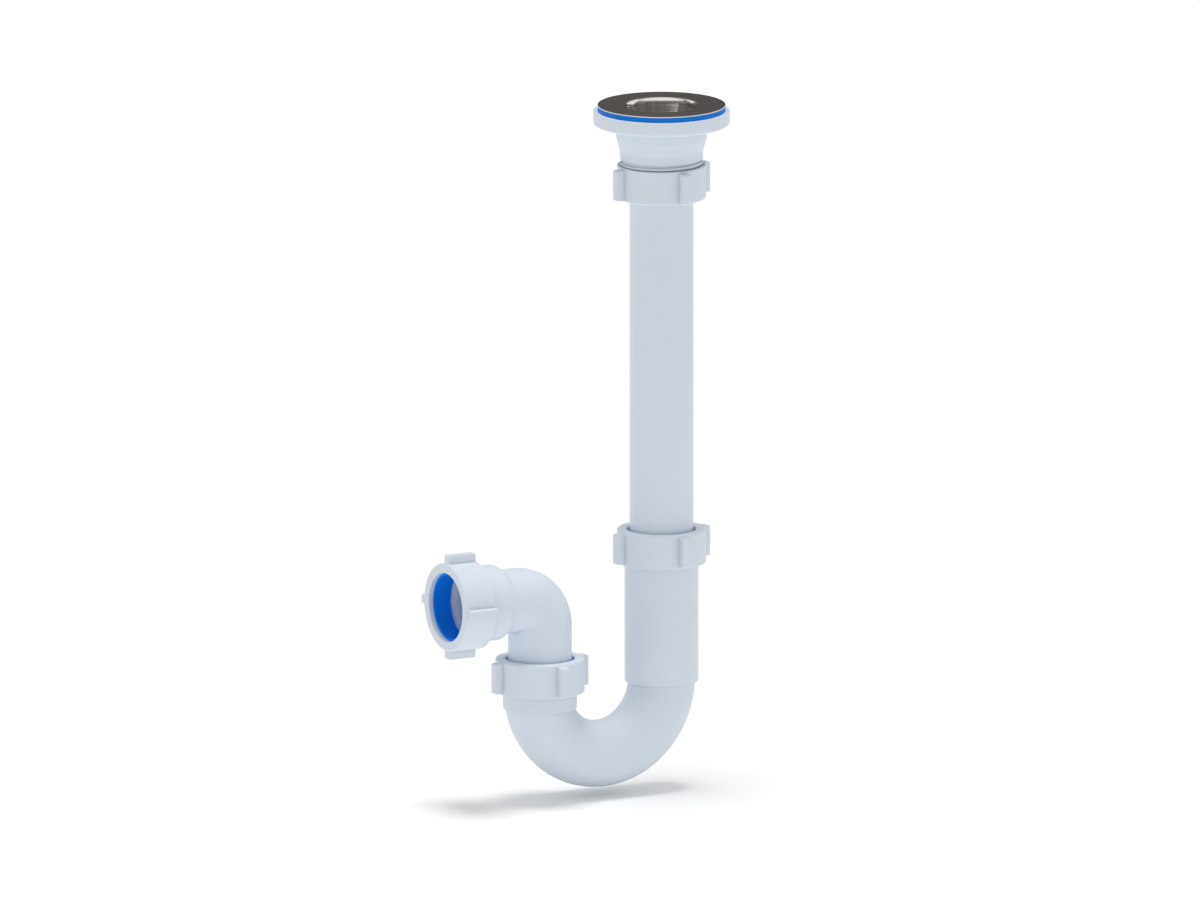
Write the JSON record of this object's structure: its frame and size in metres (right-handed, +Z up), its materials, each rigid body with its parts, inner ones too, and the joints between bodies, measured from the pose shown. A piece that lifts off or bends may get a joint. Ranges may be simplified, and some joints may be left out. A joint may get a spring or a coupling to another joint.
{
  "type": "sink trap",
  "caption": "Tubular basin trap: strainer waste, straight inlet tube, U-bend with water seal and a swivelling outlet elbow, joined by winged union nuts with cone seals.",
  "frame": {"origin": "on the waste's axis, at the seat where the basin's drain edge is clamped between the strainer's rim and the gasket", "axes": "+Z up along the waste and the inlet tube; the outlet points to -X"},
  "size_m": [0.1579, 0.0684, 0.3442],
  "materials": {
    "white_plastic": "satin moulded polypropylene",
    "nut_plastic": "satin moulded polypropylene",
    "tube_plastic": "smooth extruded polypropylene",
    "blue_gasket": "smooth elastomer",
    "blue_seal": "smooth elastomer",
    "stainless_sheet": "polished pressed sheet",
    "stainless_screw": "bright turned",
    "brass_insert": "turned"
  },
  "bodies": {
    "waste": {"strainer_cup": "stainless_sheet", "cup_screw": "stainless_screw", "threaded_insert": "brass_insert", "flange_gasket": "blue_gasket", "waste_body": "white_plastic"},
    "tube_washer": {"tube_washer": "blue_seal"},
    "waste_nut": {"waste_nut": "nut_plastic"},
    "inlet_tube": {"inlet_tube": "tube_plastic"},
    "u_bend": {"u_bend": "white_plastic"},
    "trap_seal": {"trap_seal": "blue_seal"},
    "trap_nut": {"trap_nut": "nut_plastic"},
    "outlet_elbow": {"outlet_elbow": "white_plastic"},
    "elbow_seal": {"elbow_seal": "blue_seal"},
    "elbow_nut": {"elbow_nut": "nut_plastic"},
    "outlet_seal": {"outlet_seal": "blue_seal"},
    "outlet_nut": {"outlet_nut": "nut_plastic"}
  },
  "joints": [
    {"name": "tube_drop", "type": "slide", "parent": "waste", "child": "tube_washer", "axis": [0, 0, -1], "range_m": [0, 0.00925]},
    {"name": "waste_nut_turn", "type": "hinge", "parent": "tube_washer", "child": "waste_nut", "pos_m": [0, 0, -0.0445], "axis": [0, 0, -1], "range_deg": [0, 1440]},
    {"name": "inlet_swivel", "type": "hinge", "parent": "tube_washer", "child": "inlet_tube", "pos_m": [0, 0, -0.0422], "axis": [0, 0, 1], "continuous": true},
    {"name": "trap_height", "type": "slide", "parent": "inlet_tube", "child": "u_bend", "axis": [0, 0, 1], "range_m": [-0.024, 0.028]},
    {"name": "trap_seal_lift", "type": "slide", "parent": "u_bend", "child": "trap_seal", "axis": [0, 0, 1], "range_m": [0, 0.00925]},
    {"name": "trap_nut_turn", "type": "hinge", "parent": "trap_seal", "child": "trap_nut", "pos_m": [0, 0, -0.2181], "axis": [0, 0, 1], "range_deg": [0, 1440]},
    {"name": "elbow_swivel", "type": "hinge", "parent": "u_bend", "child": "outlet_elbow", "pos_m": [-0.0695, 0, -0.2812], "axis": [0, 0, 1], "range_deg": [-120, 120]},
    {"name": "elbow_seal_lift", "type": "slide", "parent": "u_bend", "child": "elbow_seal", "axis": [0, 0, 1], "range_m": [0, 0.00925]},
    {"name": "elbow_nut_turn", "type": "hinge", "parent": "elbow_seal", "child": "elbow_nut", "pos_m": [-0.0695, 0, -0.2773], "axis": [0, 0, 1], "range_deg": [0, 1440]},
    {"name": "outlet_seal_slide", "type": "slide", "parent": "outlet_elbow", "child": "outlet_seal", "axis": [-1, 0, 0], "range_m": [0, 0.00925]},
    {"name": "outlet_nut_turn", "type": "hinge", "parent": "outlet_seal", "child": "outlet_nut", "pos_m": [-0.1211, 0, -0.244], "axis": [-1, 0, 0], "range_deg": [0, 1440]}
  ],
  "couplings": [
    {"joint": "tube_drop", "follows": "waste_nut_turn", "m_per_rad": 0.00036749},
    {"joint": "trap_seal_lift", "follows": "trap_nut_turn", "m_per_rad": 0.00036749},
    {"joint": "elbow_seal_lift", "follows": "elbow_nut_turn", "m_per_rad": 0.00036749},
    {"joint": "outlet_seal_slide", "follows": "outlet_nut_turn", "m_per_rad": 0.00036749}
  ]
}
